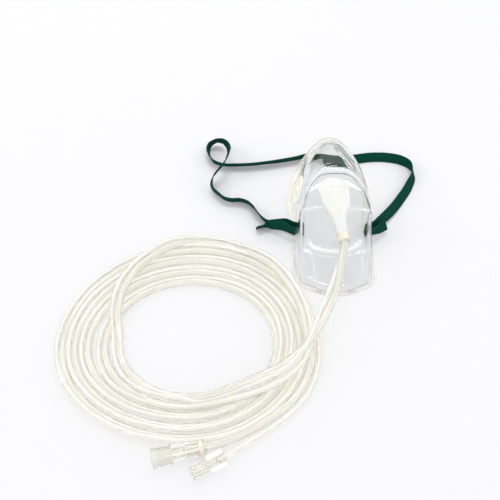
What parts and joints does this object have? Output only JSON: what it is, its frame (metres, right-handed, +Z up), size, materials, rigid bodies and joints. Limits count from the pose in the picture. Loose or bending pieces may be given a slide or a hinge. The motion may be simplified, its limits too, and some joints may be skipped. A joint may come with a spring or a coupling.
{
  "type": "oxygen face mask",
  "caption": "Clear elongated oxygen face mask with twin oxygen and gas sampling tubing in a coil, two end connectors and a green elastic head strap.",
  "frame": {"origin": "middle of the flat underside of the seal at its chin end", "axes": "+Y along the mask's axis from chin to nose, +X across it to the wearer-facing-down mask's right in the picture, +Z up out of the table the seal lies on"},
  "size_m": [0.3123, 0.3533, 0.0609],
  "materials": {
    "clear_shell": "clear gloss",
    "soft_seal": "translucent satin",
    "vent_silicone": "matte",
    "milky_connector": "milky satin",
    "yellow_ring": "satin",
    "clear_tubing": "translucent gloss",
    "green_elastic": "woven matte",
    "clear_styrene": "clear gloss"
  },
  "bodies": {
    "root": {"mask_shell": "clear_shell", "face_seal": "soft_seal", "exhalation_vent_left": "vent_silicone", "exhalation_vent_right": "vent_silicone", "tube_connector": "milky_connector", "connector_ring": "yellow_ring", "head_strap": "green_elastic", "oxygen_tube_lead": "clear_tubing", "sampling_line_lead": "clear_tubing", "tubing_coil": "clear_tubing", "oxygen_tube_tail": "clear_tubing", "sampling_line_tail": "clear_tubing", "funnel_connector": "clear_styrene", "funnel_ring": "yellow_ring", "luer_connector": "clear_styrene"}
  },
  "joints": []
}
